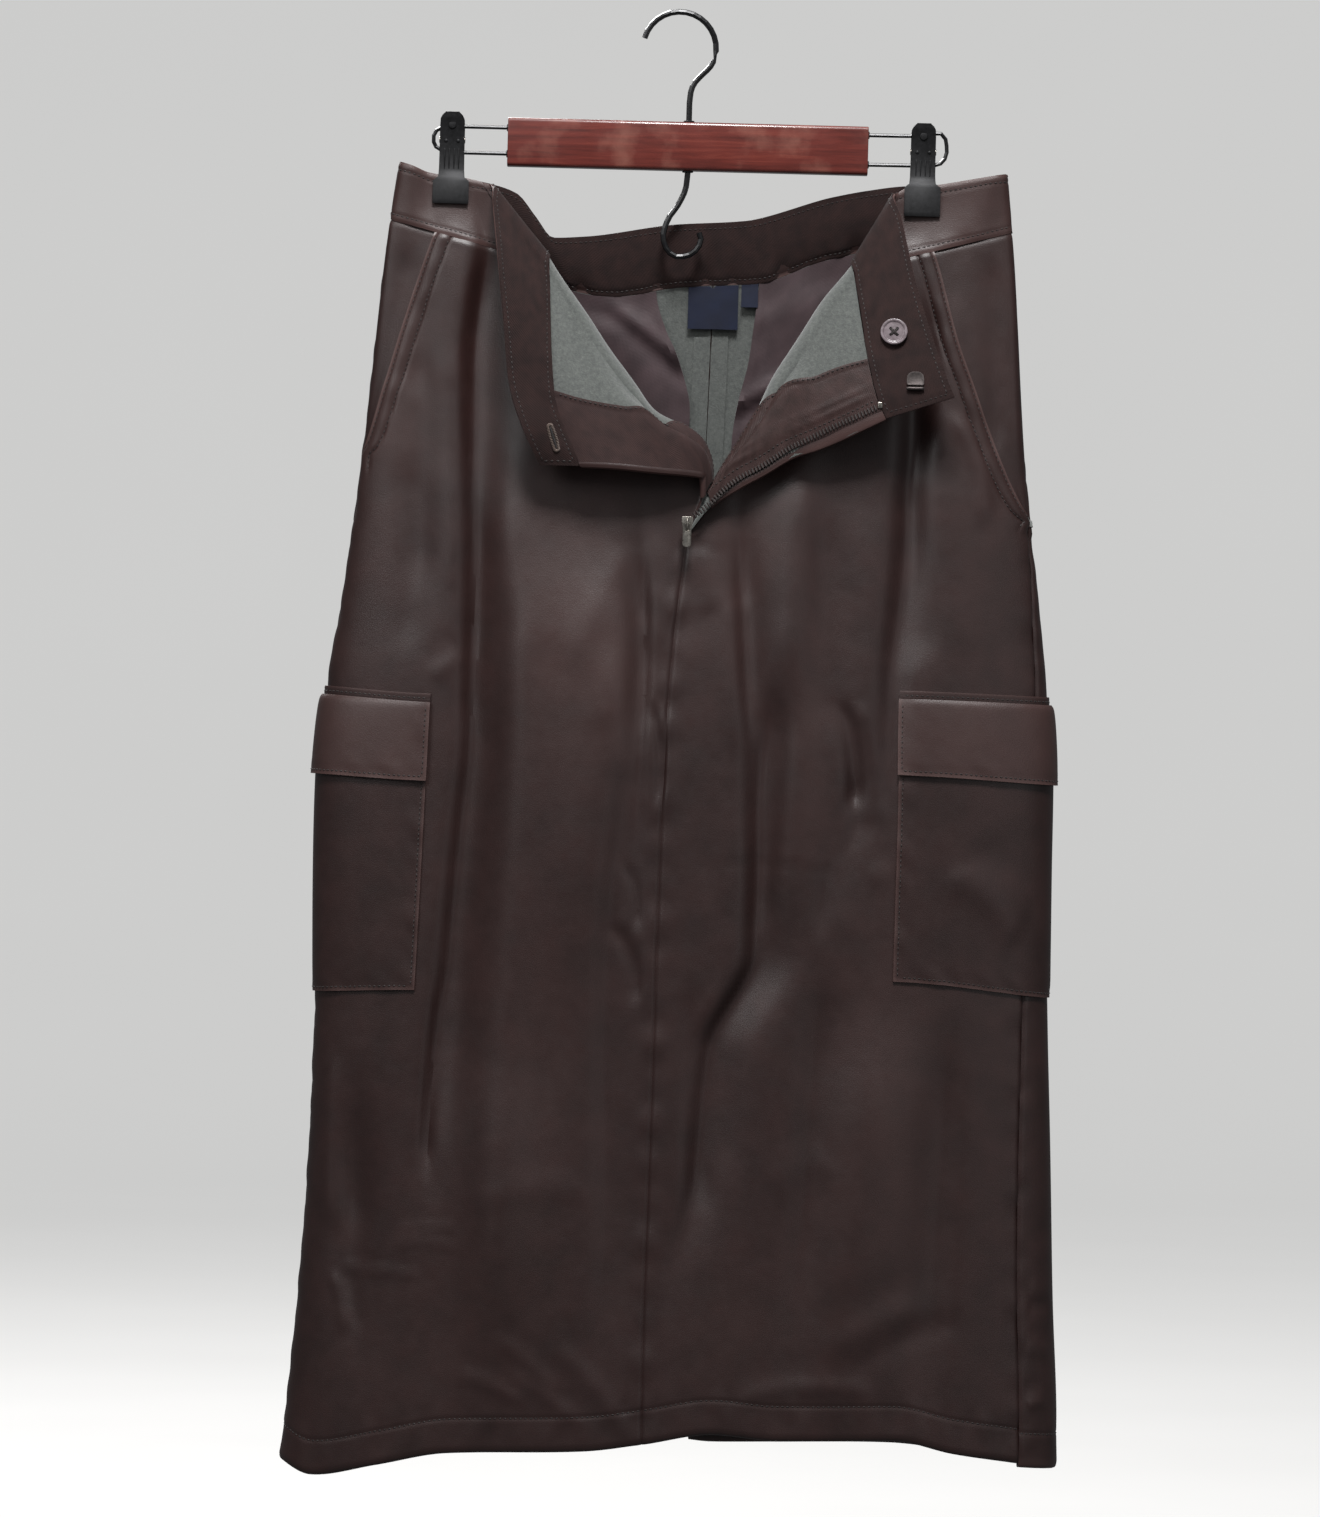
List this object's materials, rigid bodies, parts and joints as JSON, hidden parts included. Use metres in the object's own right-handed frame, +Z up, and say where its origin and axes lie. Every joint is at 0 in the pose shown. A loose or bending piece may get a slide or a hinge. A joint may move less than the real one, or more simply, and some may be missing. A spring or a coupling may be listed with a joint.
{
  "type": "cargo midi skirt on a clip hanger",
  "caption": "Long straight skirt of coated cloth with cargo pockets, hanging by clips from a wooden bar hanger, fly open and both front corners turned outwards.",
  "frame": {"origin": "inside top of the hanger's hook, where it rests on a rail or peg", "axes": "+Z up, the front faces -Y, +X to the right as seen from the front"},
  "size_m": [0.5106, 0.1044, 0.9643],
  "materials": {
    "leather": "soft semi-gloss coated cloth, fine grain",
    "twill": "matt cotton twill",
    "pocketing": "plain woven pocketing",
    "label": "plain woven label",
    "horn": "polished horn resin",
    "nickel": "bright nickel",
    "wire": "black lacquered wire",
    "clip": "blackened sprung steel",
    "wood": "varnished reddish wood"
  },
  "bodies": {
    "skirt": {"back_left_panel": "leather", "back_right_panel": "leather", "cargo_flap_left": "leather", "cargo_flap_right": "leather", "cargo_pocket_left": "leather", "cargo_pocket_right": "leather", "cargo_tuck_left": "leather", "cargo_tuck_right": "leather", "clip_left_back": "clip", "clip_left_front": "clip", "clip_left_pin": "clip", "clip_right_back": "clip", "clip_right_front": "clip", "clip_right_pin": "clip", "facing_back": "twill", "facing_front_left": "twill", "facing_front_right": "twill", "fly_facing": "twill", "front_left_panel": "leather", "front_right_panel": "leather", "hanger_bar": "wood", "hanger_hook": "wire", "hanger_loop_left": "wire", "hanger_loop_right": "wire", "hip_facing_left": "leather", "hip_facing_right": "leather", "neck_label": "label", "pocket_bag_left": "pocketing", "pocket_bag_right": "pocketing", "size_tab": "label", "waist_button": "horn", "waist_hook_plate": "nickel", "waistband_back": "leather", "waistband_front_left": "leather", "waistband_front_right": "leather", "zip_chain": "nickel", "zip_slider": "nickel", "zip_tape": "twill"},
    "pull_tab": {"zip_pull": "nickel"}
  },
  "joints": [
    {"name": "zip_pull_hinge", "type": "hinge", "parent": "skirt", "child": "pull_tab", "pos_m": [0.013, -0.0432, -0.336], "axis": [-1, 0, 0], "range_deg": [0, 150]}
  ]
}
